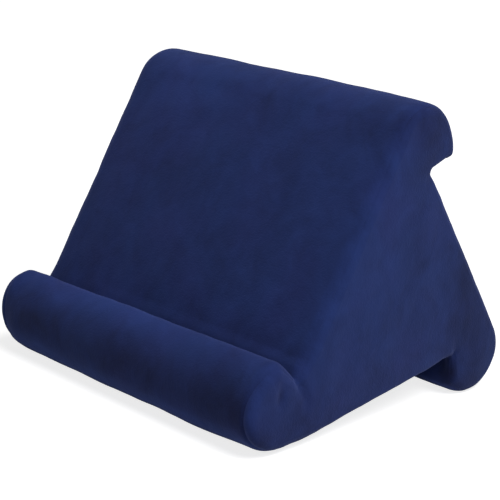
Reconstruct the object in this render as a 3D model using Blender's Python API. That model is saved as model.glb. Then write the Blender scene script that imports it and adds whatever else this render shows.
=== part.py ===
# Cushion stand: one profile-cut foam block in a sewn plush cover.
# Its section is a wedge with three round rolls and a notch beside each roll.
# What it holds stands in a notch and leans on the face above it.
# Metres, +Z up. The origin is on the floor at the middle of the footprint,
# +X runs along the rolls and -Y is the front, where the lowest notch is.

import math

import bmesh
import bpy
from mathutils import Vector

# Overall form
WIDTH = 0.288
DEPTH = 0.279
HEIGHT = 0.236
ROLL_RADIUS = 0.033
TOP_ROLL_Y = 0.0258
LIP_RADIUS = 0.0092
EDGE_RADIUS = 0.008

# How deep each of the two lower rolls is pressed flat by its own weight
REST_SINK = 0.0007

# Each notch: the place of its corner, measured from its roll's centre
NOTCH_ANGLE = math.radians(78.0)
NOTCH_RADIUS = 0.0025
FRONT_NOTCH_REACH = 0.0223
FRONT_NOTCH_TURN = math.radians(54.0)
BASE_NOTCH_REACH = 0.0247
BASE_NOTCH_TURN = math.radians(179.4)
BACK_NOTCH_REACH = 0.0221
BACK_NOTCH_TURN = math.radians(299.3)

# Cover
COVER_THICKNESS = 0.0015
CLEARANCE = 0.0003

# Zip, in the base face in front of the base notch
ZIP_SETBACK = 0.026
CHAIN_LENGTH = 0.240
TAPE_OVERRUN = 0.013
TAPE_WIDTH = 0.0133
TAPE_THICKNESS = 0.0006
COIL_HEIGHT = 0.0012
COIL_SPINE = 0.0009
TOOTH_REACH = 0.0013
TOOTH_PITCH = 0.003
TOOTH_WIDTH = 0.0014
STOP_LENGTH = 0.0027

# Slider and pull
SLIDER_LENGTH = 0.009
SLIDER_PLATE = 0.001
SLIDER_FLANGE = 0.0008
SLIDER_SHOULDER = 0.0005
DIVIDER_WIDTH = 0.0008
SLIDER_REST_GAP = 0.0015
BRIDGE_LENGTH = 0.0068
BRIDGE_WIDTH = 0.0016
BRIDGE_BAR = 0.0009
BRIDGE_OPENING = 0.002
PULL_THICKNESS = 0.001
PULL_ARM = 0.0011
PULL_LENGTH = 0.018
PULL_FLARE = 0.0009

# Smoothness of the round stretches
ROLL_STEP = math.radians(15.0)
LIP_STEPS = 4
NOTCH_HALF_STEPS = 2
EDGE_STEPS = 2
PULL_END_STEPS = 8

# The edge rounding never takes more than the lip has
edge_radius = min(EDGE_RADIUS, 0.9 * LIP_RADIUS)
seam_angle = math.radians(45.0)
seam_half_gap = CLEARANCE / (2.0 * (edge_radius - COVER_THICKNESS))


def clear_scene():
    for obj in list(bpy.data.objects):
        bpy.data.objects.remove(obj, do_unlink=True)


def material(name, colour, roughness, metallic=0.0):
    mat = bpy.data.materials.new(name)
    mat.use_nodes = True
    shader = mat.node_tree.nodes["Principled BSDF"]
    shader.inputs["Base Color"].default_value = (*colour, 1.0)
    shader.inputs["Roughness"].default_value = roughness
    shader.inputs["Metallic"].default_value = metallic
    return mat


def add_object(name, bm, mat):
    bmesh.ops.recalc_face_normals(bm, faces=bm.faces[:])
    mesh = bpy.data.meshes.new(name)
    bm.to_mesh(mesh)
    bm.free()
    mesh.shade_smooth()
    mesh.set_sharp_from_angle(angle=math.radians(35.0))
    mesh.materials.append(mat)
    obj = bpy.data.objects.new(name, mesh)
    bpy.context.scene.collection.objects.link(obj)
    return obj


# The section, in the YZ plane and counter-clockwise seen from +X.
# A station is a point of the outline with the way out of the cushion there,
# so the same stations, moved inwards, give every layer and every edge.

def unit(angle):
    return Vector((math.cos(angle), math.sin(angle)))


def angle_of(vector):
    return math.atan2(vector.y, vector.x)


def turned(vector, angle):
    c = math.cos(angle)
    s = math.sin(angle)
    return Vector((c * vector.x - s * vector.y, s * vector.x + c * vector.y))


def left_of(vector):
    return Vector((-vector.y, vector.x))


def after(angle, start):
    while angle < start:
        angle += 2.0 * math.pi
    return angle


def arc(centre, radius, start, end, steps, outwards=1.0):
    stations = []
    for k in range(steps + 1):
        way = unit(start + (end - start) * k / steps)
        stations.append((centre + way * radius, way * outwards))
    return stations


def leaving_point(centre, corner):
    """Where the flat face that runs on to the next notch leaves a roll."""
    line = centre - corner
    way = turned(line.normalized(), math.asin(ROLL_RADIUS / line.length))
    return corner + way * math.sqrt(line.length_squared - ROLL_RADIUS ** 2)


def roll_stations(centre, start, end):
    """A roll from its lip to the face that leaves it.

    It has a station at each quarter turn, so that the rolls give the exact
    depth and height, and one at each side of the flat that a lower roll rests on.
    """
    angles = [k * math.pi / 2.0 for k in range(8)]
    if centre.y < 2.0 * ROLL_RADIUS:
        bottom = 1.5 * math.pi
        half = math.acos((ROLL_RADIUS - REST_SINK) / ROLL_RADIUS)
        angles += [bottom - half, bottom + half]
    stops = [start] + sorted(a for a in angles if start < a < end) + [end]
    stations = []
    for first, last in zip(stops, stops[1:]):
        steps = max(1, round((last - first) / ROLL_STEP))
        stations += arc(centre, ROLL_RADIUS, first, last, steps)[1:]
    return stations


def lobe(centre, corner, came_from, goes_to):
    """One notch and its roll: (up to the notch's seam, on from it)."""
    heading = (corner - came_from).normalized()
    turn = math.pi - NOTCH_ANGLE
    rising = turned(heading, -turn)

    bisector = (rising - heading).normalized()
    soft_centre = corner + bisector * (NOTCH_RADIUS / math.sin(NOTCH_ANGLE / 2.0))
    start = angle_of(left_of(heading))
    middle = start - turn / 2.0
    half_gap = CLEARANCE / (2.0 * NOTCH_RADIUS)
    before = arc(soft_centre, NOTCH_RADIUS, start, middle + half_gap, NOTCH_HALF_STEPS, -1.0)
    beyond = arc(soft_centre, NOTCH_RADIUS, middle - half_gap, start - turn, NOTCH_HALF_STEPS, -1.0)

    foot = corner + left_of(rising) * LIP_RADIUS
    offset = foot - centre
    behind = offset.dot(rising)
    inside = offset.length_squared - (ROLL_RADIUS - LIP_RADIUS) ** 2
    lip_centre = foot + rising * (math.sqrt(behind ** 2 - inside) - behind)
    lip_start = angle_of(-left_of(rising))
    lip_end = after(angle_of(lip_centre - centre), lip_start)
    beyond += arc(lip_centre, LIP_RADIUS, lip_start, lip_end, LIP_STEPS)

    roll_start = lip_end % (2.0 * math.pi)
    roll_end = after(angle_of(leaving_point(centre, goes_to) - centre), roll_start)
    beyond += roll_stations(centre, roll_start, roll_end)
    return before, beyond


roll_y = DEPTH / 2.0 - ROLL_RADIUS
roll_z = ROLL_RADIUS - REST_SINK
front_roll = Vector((-roll_y, roll_z))
rear_roll = Vector((roll_y, roll_z))
top_roll = Vector((TOP_ROLL_Y, HEIGHT - ROLL_RADIUS))

front_notch = front_roll + unit(FRONT_NOTCH_TURN) * FRONT_NOTCH_REACH
base_notch = rear_roll + unit(BASE_NOTCH_TURN) * BASE_NOTCH_REACH
back_notch = top_roll + unit(BACK_NOTCH_TURN) * BACK_NOTCH_REACH

front_leaves = leaving_point(front_roll, base_notch)
rear_leaves = leaving_point(rear_roll, back_notch)
top_leaves = leaving_point(top_roll, front_notch)

to_front_notch, front_lobe = lobe(front_roll, front_notch, top_leaves, base_notch)
to_base_notch, rear_lobe = lobe(rear_roll, base_notch, front_leaves, back_notch)
to_back_notch, top_lobe = lobe(top_roll, back_notch, rear_leaves, front_notch)

# The base face carries the zip. Its own axes are +X, along and up.
along = (base_notch - front_leaves).normalized()
up = left_of(along)
zip_middle = base_notch - along * ZIP_SETBACK
base_tilt = angle_of(along)


def base_station(distance, depth=0.0):
    """A station on the base face, at a distance past the zip's middle."""
    return zip_middle + along * distance + up * depth, -up


# Sizes of the zip, all measured from the cover's outer face
coil_gap = DIVIDER_WIDTH / 2.0 + CLEARANCE
coil_outside = coil_gap + TOOTH_REACH + COIL_SPINE
coil_low = COVER_THICKNESS - COIL_HEIGHT
tape_low = COVER_THICKNESS + CLEARANCE
tape_high = tape_low + TAPE_THICKNESS
flange_inside = coil_outside + CLEARANCE
slider_half = flange_inside + SLIDER_FLANGE + SLIDER_SHOULDER
slot_half_width = slider_half + 2.0 * CLEARANCE
slot_half_length = CHAIN_LENGTH / 2.0 + STOP_LENGTH + 2.0 * CLEARANCE
tape_half_length = slot_half_length + TAPE_OVERRUN
inner_plate_low = tape_high + CLEARANCE
inner_plate_high = inner_plate_low + SLIDER_PLATE


def round_columns():
    """Across the width, from the left seam to the right one."""
    last = seam_angle - seam_half_gap
    turns = [last * k / EDGE_STEPS for k in range(EDGE_STEPS, -1, -1)]
    return [(-1.0, a) for a in turns] + [(1.0, a) for a in reversed(turns)]


def layer_point(station, side, turn, depth):
    """A point of a layer: round the cushion's end by turn, depth below the surface."""
    point, way = station
    radius = edge_radius - depth
    x = side * (WIDTH / 2.0 - edge_radius + radius * math.sin(turn))
    inset = depth + radius * (1.0 - math.cos(turn))
    moved = point - way * inset
    return Vector((x, moved.x, max(moved.y, inset)))


def sheet(stations, columns, place, keep=lambda row, column: True):
    """A closed sheet of the cover's thickness, laid over rows of stations."""
    bm = bmesh.new()
    outer = {}
    inner = {}

    def corner(row, column):
        key = (row, column)
        if key not in outer:
            outer[key] = bm.verts.new(place(stations[row], columns[column], 0.0))
            inner[key] = bm.verts.new(place(stations[row], columns[column], COVER_THICKNESS))
        return key

    rims = {}
    for row in range(len(stations) - 1):
        for column in range(len(columns) - 1):
            if not keep(row, column):
                continue
            cell = [(row, column), (row, column + 1), (row + 1, column + 1), (row + 1, column)]
            cell = [corner(*key) for key in cell]
            bm.faces.new([outer[key] for key in cell])
            bm.faces.new([inner[key] for key in reversed(cell)])
            for start, end in zip(cell, cell[1:] + cell[:1]):
                if (end, start) in rims:
                    del rims[(end, start)]
                else:
                    rims[(start, end)] = True
    for start, end in rims:
        bm.faces.new([outer[end], outer[start], inner[start], inner[end]])
    return bm


def place_round(station, column, depth):
    side, turn = column
    return layer_point(station, side, turn, depth)


def place_slotted(station, column, depth):
    """The same, with two more columns at the ends of the zip's slot."""
    side, turn = column
    if turn is None:
        point, way = station
        moved = point - way * depth
        return Vector((side * slot_half_length, moved.x, max(moved.y, depth)))
    return layer_point(station, side, turn, depth)


def front_panel(plush):
    stations = top_lobe + to_front_notch
    return add_object("front_panel", sheet(stations, round_columns(), place_round), plush)


def slotted_columns():
    columns = round_columns()
    half = len(columns) // 2
    return columns[:half] + [(-1.0, None), (1.0, None)] + columns[half:]


def slotted_panel(name, stations, edge_row, plush):
    """A panel whose edge steps back along the zip."""
    columns = slotted_columns()
    middle = columns.index((-1.0, None))

    def keep(row, column):
        return row != edge_row or column != middle

    return add_object(name, sheet(stations, columns, place_slotted, keep), plush)


def base_panel(plush):
    stations = front_lobe + [base_station(-slot_half_width), base_station(-CLEARANCE / 2.0)]
    return slotted_panel("base_panel", stations, len(stations) - 2, plush)


def back_panel(plush):
    stations = [base_station(CLEARANCE / 2.0), base_station(slot_half_width)]
    stations += to_base_notch + rear_lobe + to_back_notch
    return slotted_panel("back_panel", stations, 0, plush)


def loft(rings):
    """A closed solid through rings of equal length, capped at both ends."""
    bm = bmesh.new()
    rows = [[bm.verts.new(point) for point in ring] for ring in rings]
    for first, second in zip(rows, rows[1:]):
        for k in range(len(first)):
            n = (k + 1) % len(first)
            bm.faces.new([first[k], first[n], second[n], second[k]])
    bm.faces.new(list(reversed(rows[0])))
    bm.faces.new(rows[-1])
    return bm


def side_panel(name, side, plush):
    """A profile-shaped panel, turned over the edge as far as its seam."""
    stations = to_front_notch + front_lobe + to_base_notch + rear_lobe + to_back_notch + top_lobe
    first = seam_angle + seam_half_gap
    turns = [first + (math.pi / 2.0 - first) * k / EDGE_STEPS for k in range(EDGE_STEPS + 1)]
    inside = [[layer_point(s, side, a, COVER_THICKNESS) for s in stations] for a in reversed(turns)]
    outside = [[layer_point(s, side, a, 0.0) for s in stations] for a in turns]
    return add_object(name, loft(inside + outside), plush)


def foam_core(foam):
    """The block, pressed in a little along the zip by its tape and its slider."""
    depth = COVER_THICKNESS + CLEARANCE
    tape_edge = coil_gap + TAPE_WIDTH + CLEARANCE
    tape_floor = tape_high + CLEARANCE
    slider_edge = slider_half + CLEARANCE
    slider_floor = inner_plate_high + CLEARANCE
    groove = [
        base_station(-tape_edge),
        base_station(-tape_edge, tape_floor - depth),
        base_station(-slider_edge, tape_floor - depth),
        base_station(-slider_edge, slider_floor - depth),
        base_station(slider_edge, slider_floor - depth),
        base_station(slider_edge, tape_floor - depth),
        base_station(tape_edge, tape_floor - depth),
        base_station(tape_edge),
    ]
    stations = to_front_notch + front_lobe + groove + to_base_notch + rear_lobe
    stations += to_back_notch + top_lobe
    quarter = math.pi / 2.0
    turns = [quarter * k / EDGE_STEPS for k in range(EDGE_STEPS, -1, -1)]
    rings = [[layer_point(s, -1.0, a, depth) for s in stations] for a in turns]
    rings += [[layer_point(s, 1.0, a, depth) for s in stations] for a in reversed(turns)]
    return add_object("foam_core", loft(rings), foam)


# The zip. Local axes: +X along the chain, +Y towards the base notch and
# +Z into the cushion, with zero on the cover's outer face.

def on_base(obj, x=0.0, height=0.0):
    """Stand an object on the base face, at a height measured into the cushion."""
    place = zip_middle + up * height
    obj.location = (x, place.x, place.y)
    obj.rotation_euler = (base_tilt, 0.0, 0.0)
    return obj


def prism(points, low, high):
    """An outline given as (x, y), raised from low to high."""
    return loft([[Vector((x, y, z)) for x, y in points] for z in (low, high)])


def box(x_low, x_high, y_low, y_high, z_low, z_high):
    corners = [(x_low, y_low), (x_high, y_low), (x_high, y_high), (x_low, y_high)]
    return prism(corners, z_low, z_high)


def zip_tape(name, side, cloth):
    edges = sorted((side * coil_gap, side * (coil_gap + TAPE_WIDTH)))
    bm = box(-tape_half_length, tape_half_length, *edges, tape_low, tape_high)
    return on_base(add_object(name, bm, cloth))


def zip_coil(name, side, nylon):
    """One half of the chain: a spine along the tape's edge with its teeth."""
    spine = side * (coil_gap + TOOTH_REACH)
    tip = side * coil_gap
    half = CHAIN_LENGTH / 2.0
    points = [(half, side * coil_outside), (-half, side * coil_outside)]
    count = int(CHAIN_LENGTH / TOOTH_PITCH)
    for k in range(count):
        start = -half + TOOTH_PITCH * k
        middle = start + TOOTH_PITCH / 2.0
        points += [(start, spine)]
        points += [(middle - TOOTH_WIDTH / 2.0, spine), (middle - TOOTH_WIDTH / 2.0, tip)]
        points += [(middle + TOOTH_WIDTH / 2.0, tip), (middle + TOOTH_WIDTH / 2.0, spine)]
    points.append((half, spine))
    return on_base(add_object(name, prism(points, coil_low, COVER_THICKNESS), nylon))


def zip_stop(name, side, metal):
    """A little clamp over both halves of the chain, where it ends."""
    start = CHAIN_LENGTH / 2.0 + CLEARANCE
    ends = sorted((side * start, side * (start + STOP_LENGTH)))
    bm = box(*ends, -coil_outside, coil_outside, coil_low - CLEARANCE, COVER_THICKNESS)
    bmesh.ops.bevel(bm, geom=bm.edges[:], offset=CLEARANCE, segments=1, affect="EDGES")
    return on_base(add_object(name, bm, metal))


slider_x = SLIDER_LENGTH / 2.0 + SLIDER_REST_GAP - CHAIN_LENGTH / 2.0
outer_plate_high = coil_low - CLEARANCE
outer_plate_low = outer_plate_high - SLIDER_PLATE
pull_axis_height = outer_plate_low - BRIDGE_OPENING / 2.0
bridge_top = outer_plate_low - BRIDGE_OPENING - BRIDGE_BAR


def slider_section(x, half):
    """The slider's end view: two plates, their flanges and the divider."""
    neck = DIVIDER_WIDTH / 2.0
    flange_high = tape_low - CLEARANCE
    right = [
        (half, outer_plate_low),
        (half, flange_high),
        (flange_inside, flange_high),
        (flange_inside, outer_plate_high),
        (neck, outer_plate_high),
        (neck, inner_plate_low),
        (half, inner_plate_low),
        (half, inner_plate_high),
    ]
    left = [(-y, z) for y, z in reversed(right)]
    return [Vector((x, y, z)) for y, z in right + left]


def bridge_solid():
    """The loop on the slider's outer plate that holds the pull."""
    half = BRIDGE_LENGTH / 2.0
    leg = half - BRIDGE_BAR
    root = outer_plate_low + SLIDER_PLATE / 2.0
    inner_top = bridge_top + BRIDGE_BAR
    outline = [
        (-half, root), (-half, bridge_top + BRIDGE_BAR), (-half + BRIDGE_BAR, bridge_top),
        (half - BRIDGE_BAR, bridge_top), (half, bridge_top + BRIDGE_BAR), (half, root),
        (leg, root), (leg, inner_top), (-leg, inner_top), (-leg, root),
    ]
    rings = [[Vector((x, y, z)) for x, z in outline] for y in (-BRIDGE_WIDTH / 2.0, BRIDGE_WIDTH / 2.0)]
    return loft(rings)


def zip_slider(metal):
    half = SLIDER_LENGTH / 2.0
    narrow = slider_half - SLIDER_SHOULDER
    rings = [slider_section(-half, slider_half), slider_section(0.0, slider_half)]
    rings.append(slider_section(half, narrow))
    body = add_object("zip_slider", loft(rings), metal)
    bridge = add_object("zip_slider_bridge_guide", bridge_solid(), metal)
    for obj in (body, bridge):
        on_base(obj, slider_x)
    bridge.hide_render = True
    bridge.display_type = "WIRE"
    union = body.modifiers.new("Bridge", "BOOLEAN")
    union.operation = "UNION"
    union.object = bridge
    return body


def zip_pull(metal):
    """A flat tab with an eye round the slider's bridge. It hangs from its hinge."""
    window = BRIDGE_WIDTH / 2.0 + CLEARANCE
    half = window + PULL_ARM
    reach = math.hypot(BRIDGE_LENGTH / 2.0, pull_axis_height - bridge_top) + CLEARANCE
    bar = PULL_THICKNESS / 2.0
    end_half = half + PULL_FLARE
    end_arc = [math.pi * k / PULL_END_STEPS for k in range(PULL_END_STEPS + 1)]
    rim = PULL_LENGTH - end_half
    tab = [(-end_half * math.cos(a), -rim - end_half * math.sin(a)) for a in end_arc]
    bm = bmesh.new()
    outer = [(half, bar), (-half, bar), (-half, -reach)] + tab + [(half, -reach)]
    inner = [(window, -bar), (-window, -bar), (-window, -reach), (window, -reach)]
    faces = {}
    for x in (-bar, bar):
        outer_row = [bm.verts.new(Vector((x, y, z))) for y, z in outer]
        inner_row = [bm.verts.new(Vector((x, y, z))) for y, z in inner]
        faces[x] = (outer_row, inner_row)
        right, left = outer_row[0], outer_row[1]
        low_left, low_right = outer_row[2], outer_row[-1]
        bm.faces.new([right, left, inner_row[1], inner_row[0]])
        bm.faces.new([left, low_left, inner_row[2], inner_row[1]])
        bm.faces.new([low_right, right, inner_row[0], inner_row[3]])
        bm.faces.new([low_left, *outer_row[3:-1], low_right, inner_row[3], inner_row[2]])
    for k in (0, 1):
        first = faces[-bar][k]
        second = faces[bar][k]
        for i in range(len(first)):
            n = (i + 1) % len(first)
            bm.faces.new([first[i], first[n], second[n], second[i]])
    return on_base(add_object("zip_pull", bm, metal), slider_x, pull_axis_height)


def build():
    clear_scene()
    plush = material("navy_plush", (0.023, 0.036, 0.125), 0.9)
    foam = material("cream_foam", (0.85, 0.80, 0.66), 0.95)
    cloth = material("navy_tape", (0.020, 0.028, 0.080), 0.8)
    nylon = material("navy_nylon", (0.018, 0.024, 0.070), 0.45)
    metal = material("nickel_plate", (0.62, 0.61, 0.58), 0.3, 1.0)

    foam_core(foam)
    front_panel(plush)
    base_panel(plush)
    back_panel(plush)
    side_panel("side_panel_left", -1.0, plush)
    side_panel("side_panel_right", 1.0, plush)
    zip_tape("zip_tape_front", -1.0, cloth)
    zip_tape("zip_tape_rear", 1.0, cloth)
    zip_coil("zip_coil_front", -1.0, nylon)
    zip_coil("zip_coil_rear", 1.0, nylon)
    zip_stop("zip_stop_left", -1.0, metal)
    zip_stop("zip_stop_right", 1.0, metal)
    zip_slider(metal)
    zip_pull(metal)


build()
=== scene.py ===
import math

import bpy
import numpy as np
from mathutils import Matrix, Vector, geometry, noise


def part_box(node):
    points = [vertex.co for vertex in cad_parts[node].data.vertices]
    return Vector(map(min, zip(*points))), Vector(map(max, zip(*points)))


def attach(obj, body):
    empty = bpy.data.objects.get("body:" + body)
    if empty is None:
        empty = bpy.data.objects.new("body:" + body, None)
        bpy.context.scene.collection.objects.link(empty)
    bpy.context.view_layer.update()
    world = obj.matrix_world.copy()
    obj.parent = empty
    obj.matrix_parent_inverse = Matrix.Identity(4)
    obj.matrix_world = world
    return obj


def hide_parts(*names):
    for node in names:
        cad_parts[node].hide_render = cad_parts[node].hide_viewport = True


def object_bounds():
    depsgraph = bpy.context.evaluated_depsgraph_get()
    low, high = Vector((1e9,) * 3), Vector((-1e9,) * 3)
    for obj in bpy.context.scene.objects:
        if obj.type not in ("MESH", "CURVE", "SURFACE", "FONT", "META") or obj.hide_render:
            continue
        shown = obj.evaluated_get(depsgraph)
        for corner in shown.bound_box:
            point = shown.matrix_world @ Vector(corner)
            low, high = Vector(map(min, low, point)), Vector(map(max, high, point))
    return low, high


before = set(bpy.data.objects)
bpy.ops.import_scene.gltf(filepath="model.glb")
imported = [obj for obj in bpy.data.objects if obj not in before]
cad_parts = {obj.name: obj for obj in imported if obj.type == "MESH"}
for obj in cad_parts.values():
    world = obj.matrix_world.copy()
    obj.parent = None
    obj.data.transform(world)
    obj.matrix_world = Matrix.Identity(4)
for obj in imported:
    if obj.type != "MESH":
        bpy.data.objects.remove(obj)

cad_low, cad_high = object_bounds()


# Foam core
# One block of open-cell polyurethane foam, cut with a hot wire to the cushion's
# section: a wedge with a round roll at each corner and a notch beside each roll.
# The sewn cover takes its whole shape from it, so the section is worked out here.

MM = 0.001
HALF_WIDTH = cad_high.x
ROLL_RADIUS = 33.0 * MM
ROLL_Y = cad_high.y - ROLL_RADIUS
ROLL_Z = ROLL_RADIUS - 0.7 * MM
TOP_ROLL_Y = 25.8 * MM
TOP_ROLL_Z = cad_high.z - ROLL_RADIUS
LIP_RADIUS = 9.2 * MM
NOTCH_RADIUS = 1.8 * MM
NOTCH_ANGLE = math.radians(78.0)
SEAM_GAP = 0.3 * MM
NOTCH_SEAM_GAP = 0.02 * MM
COVER_THICKNESS = 1.5 * MM


def unit(angle):
    return np.array([math.cos(angle), math.sin(angle)])


def turned(way, angle):
    c = math.cos(angle)
    s = math.sin(angle)
    return np.array([c * way[0] - s * way[1], s * way[0] + c * way[1]])


def left_of(way):
    return np.array([-way[1], way[0]])


def angle_of(way):
    return math.atan2(way[1], way[0])


def length_of(way):
    return np.hypot(way[0], way[1])


# A station is a point of the section's outline (y, z), the way out of the cushion
# there, its share of a flat face's crown and its share of a roll's swell.

def arc_stations(centre, radius, start, end, spacing, outwards=1.0, swell=0.0):
    steps = max(2, round(abs(end - start) * radius / spacing))
    stations = []
    for k in range(steps + 1):
        way = unit(start + (end - start) * k / steps)
        rise = swell * math.sin(math.pi * k / steps) ** 0.5
        stations.append((centre + way * radius, way * outwards, 0.0, rise))
    return stations


def run_stations(first, last, spacing, crown=1.0):
    """The flat run between two stations, without its ends."""
    start, way = first[0], first[1]
    end = last[0]
    steps = max(2, round(length_of(end - start) / spacing))
    stations = []
    for k in range(1, steps):
        t = k / steps
        share = crown * (4.0 * t * (1.0 - t)) ** 0.8
        stations.append((start + (end - start) * t, way, share, 0.0))
    return stations


def leaving_way(centre, corner):
    """The way out of a roll where the face that runs on to a corner leaves it."""
    line = centre - corner
    reach = length_of(line)
    along = turned(line / reach, math.asin(ROLL_RADIUS / reach))
    foot = corner + along * math.sqrt(reach ** 2 - ROLL_RADIUS ** 2)
    return (foot - centre) / ROLL_RADIUS


def lobe_stations(centre, corner, came_from, goes_to):
    """One notch and its roll: up to the notch's seam, and on from it."""
    heading = (corner - came_from) / length_of(corner - came_from)
    turn = math.pi - NOTCH_ANGLE
    rising = turned(heading, -turn)
    bisector = (rising - heading) / length_of(rising - heading)
    soft = corner + bisector * NOTCH_RADIUS / math.sin(NOTCH_ANGLE / 2.0)
    start = angle_of(left_of(heading))
    middle = start - turn / 2.0
    gap = NOTCH_SEAM_GAP / (2.0 * NOTCH_RADIUS)
    before = arc_stations(soft, NOTCH_RADIUS, start, middle + gap, 0.6 * MM, -1.0)
    beyond = arc_stations(soft, NOTCH_RADIUS, middle - gap, start - turn, 0.6 * MM, -1.0)

    foot = corner + left_of(rising) * LIP_RADIUS
    offset = foot - centre
    behind = offset @ rising
    inside = offset @ offset - (ROLL_RADIUS - LIP_RADIUS) ** 2
    lip_centre = foot + rising * (math.sqrt(behind ** 2 - inside) - behind)
    lip_start = angle_of(-left_of(rising))
    lip_end = angle_of(lip_centre - centre)
    lip_end += 2.0 * math.pi * (lip_end < lip_start)
    lip = arc_stations(lip_centre, LIP_RADIUS, lip_start, lip_end, 1.5 * MM)
    beyond += run_stations(beyond[-1], lip[0], 2.0 * MM, 0.0) + lip

    roll_end = angle_of(leaving_way(centre, goes_to))
    while roll_end < lip_end:
        roll_end += 2.0 * math.pi
    beyond += arc_stations(centre, ROLL_RADIUS, lip_end, roll_end, 2.8 * MM, swell=1.0)[1:]
    return before, beyond


front_roll = np.array([-ROLL_Y, ROLL_Z])
rear_roll = np.array([ROLL_Y, ROLL_Z])
top_roll = np.array([TOP_ROLL_Y, TOP_ROLL_Z])
front_notch = front_roll + unit(math.radians(54.0)) * 22.3 * MM
base_notch = rear_roll + unit(math.radians(179.4)) * 24.7 * MM
back_notch = top_roll + unit(math.radians(299.3)) * 22.1 * MM

front_leaves = front_roll + leaving_way(front_roll, base_notch) * ROLL_RADIUS
rear_leaves = rear_roll + leaving_way(rear_roll, back_notch) * ROLL_RADIUS
top_leaves = top_roll + leaving_way(top_roll, front_notch) * ROLL_RADIUS

to_front_notch, front_lobe = lobe_stations(front_roll, front_notch, top_leaves, base_notch)
to_base_notch, rear_lobe = lobe_stations(rear_roll, base_notch, front_leaves, back_notch)
to_back_notch, top_lobe = lobe_stations(top_roll, back_notch, rear_leaves, front_notch)

# The zip lies across the base face, and its slot steps the panels back there.
base_along = (base_notch - front_leaves) / length_of(base_notch - front_leaves)
base_up = left_of(base_along)
zip_middle = base_notch - base_along * 26.0 * MM
stop_low, stop_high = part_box("zip_stop_right")
SLOT_HALF_LENGTH = stop_high.x + SEAM_GAP
SLOT_HALF_WIDTH = 5.1 * MM


def base_station(distance, depth=0.0):
    return zip_middle + base_along * distance + base_up * depth, -base_up, 0.0, 0.0


front_face = run_stations(top_lobe[-1], to_front_notch[0], 3.0 * MM)
base_face = run_stations(front_lobe[-1], base_station(-SLOT_HALF_WIDTH), 3.0 * MM, 0.4)
behind_zip = run_stations(base_station(SLOT_HALF_WIDTH), to_base_notch[0], 3.0 * MM, 0.0)
back_face = run_stations(rear_lobe[-1], to_back_notch[0], 3.0 * MM)

# How the cover and the foam under it swell, sag and fold. All heights are real
# ones: plush on foam crowns by a few millimetres and no more.
CROWN = 2.6 * MM
SWELL = 0.4 * MM
EDGE_RUN = 10.5 * MM
EDGE_DROP = 8.0 * MM
FLAT_END = HALF_WIDTH - EDGE_RUN
SIDE_PUFF = 2.2 * MM
SIDE_PUFF_REACH = 12.0 * MM
LUMP = 0.55 * MM
LUMP_SIZE = 46.0 * MM
SMALL_LUMP_SIZE = 17.0 * MM


def lumps(points, size, seed):
    """Smooth noise at each point, from -1 to 1, with lumps of about one size."""
    shift = Vector((seed * 3.7, seed * 1.9, seed * 5.3))
    values = [noise.fractal(Vector(p) / size + shift, 1.0, 2.0, 2) for p in points]
    return np.array(values)


def lumpy(points):
    """How far the foam's own unevenness lifts the cover at each point."""
    return LUMP * (lumps(points, LUMP_SIZE, 4) + 0.4 * lumps(points, SMALL_LUMP_SIZE, 5))


def bell(value, width):
    """A smooth bump: 1 at zero, and next to nothing beyond twice the width."""
    return np.exp(-(value / width) ** 2)


def round_roll(points, centre):
    """Each point's distance from a roll's middle, and its angle there in degrees."""
    offset = points - centre
    return np.hypot(*offset.T), np.degrees(np.arctan2(offset[:, 1], offset[:, 0]))


def turned_past(angle, mark):
    """How many degrees an angle is past a mark, from -180 to 180."""
    return (angle - mark + 180.0) % 360.0 - 180.0


# The hollows that run on from a notch's tip into the ends, round the inner side of
# its roll: the roll, the tip's angle, over how many degrees it fades out, how far from
# the roll's middle it runs, and its depth.
HOLLOWS = (
    (front_roll, 44.0, 38.0, 21.0 * MM, 2.4 * MM),
    (top_roll, 302.0, 40.0, 22.0 * MM, 1.0 * MM))
HOLLOW_WIDTH = 3.2 * MM
HOLLOW_START = 10.0

# The short fold that runs straight up from the base notch's tip.
FOLD_FOOT = base_notch + np.array([-1.0, 3.0]) * MM
FOLD_WAY = unit(math.radians(102.0))
FOLD_LENGTH = 8.0 * MM
FOLD_START = 2.0 * MM
FOLD_WIDTH = 1.6 * MM
FOLD_DEPTH = 1.8 * MM

# The dimple in the front roll's ends.
DIMPLE = front_roll + np.array([-4.5, 12.0]) * MM
DIMPLE_WIDTH = 3.5 * MM
DIMPLE_HEIGHT = 7.0 * MM
DIMPLE_DEPTH = 1.8 * MM


def hollow(points, centre, tip, fades_by, radius, depth):
    reach, angle = round_roll(points, centre)
    past = -turned_past(angle, tip)
    fade = bell(past, np.where(past > 0.0, fades_by, HOLLOW_START))
    return depth * fade * bell(reach - radius, HOLLOW_WIDTH)


def fold(points):
    along = (points - FOLD_FOOT) @ FOLD_WAY
    aside = (points - FOLD_FOOT) @ left_of(FOLD_WAY)
    fade = bell(along, np.where(along > 0.0, FOLD_LENGTH, FOLD_START))
    return FOLD_DEPTH * fade * bell(aside, FOLD_WIDTH)


def outline_distance(points, outline):
    nearest = np.full(len(points), 1.0)
    following = np.roll(outline, -1, axis=0)
    for start, end in zip(outline, following):
        span = end - start
        t = np.clip(((points - start) @ span) / max(span @ span, 1e-12), 0.0, 1.0)
        gap = points - start - t[:, None] * span
        nearest = np.minimum(nearest, np.hypot(gap[:, 0], gap[:, 1]))
    return nearest


whole_outline = (to_front_notch + front_lobe + base_face + behind_zip + to_base_notch
                 + rear_lobe + back_face + to_back_notch + top_lobe + front_face)
outline_points = np.array([s[0] for s in whole_outline])


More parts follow.
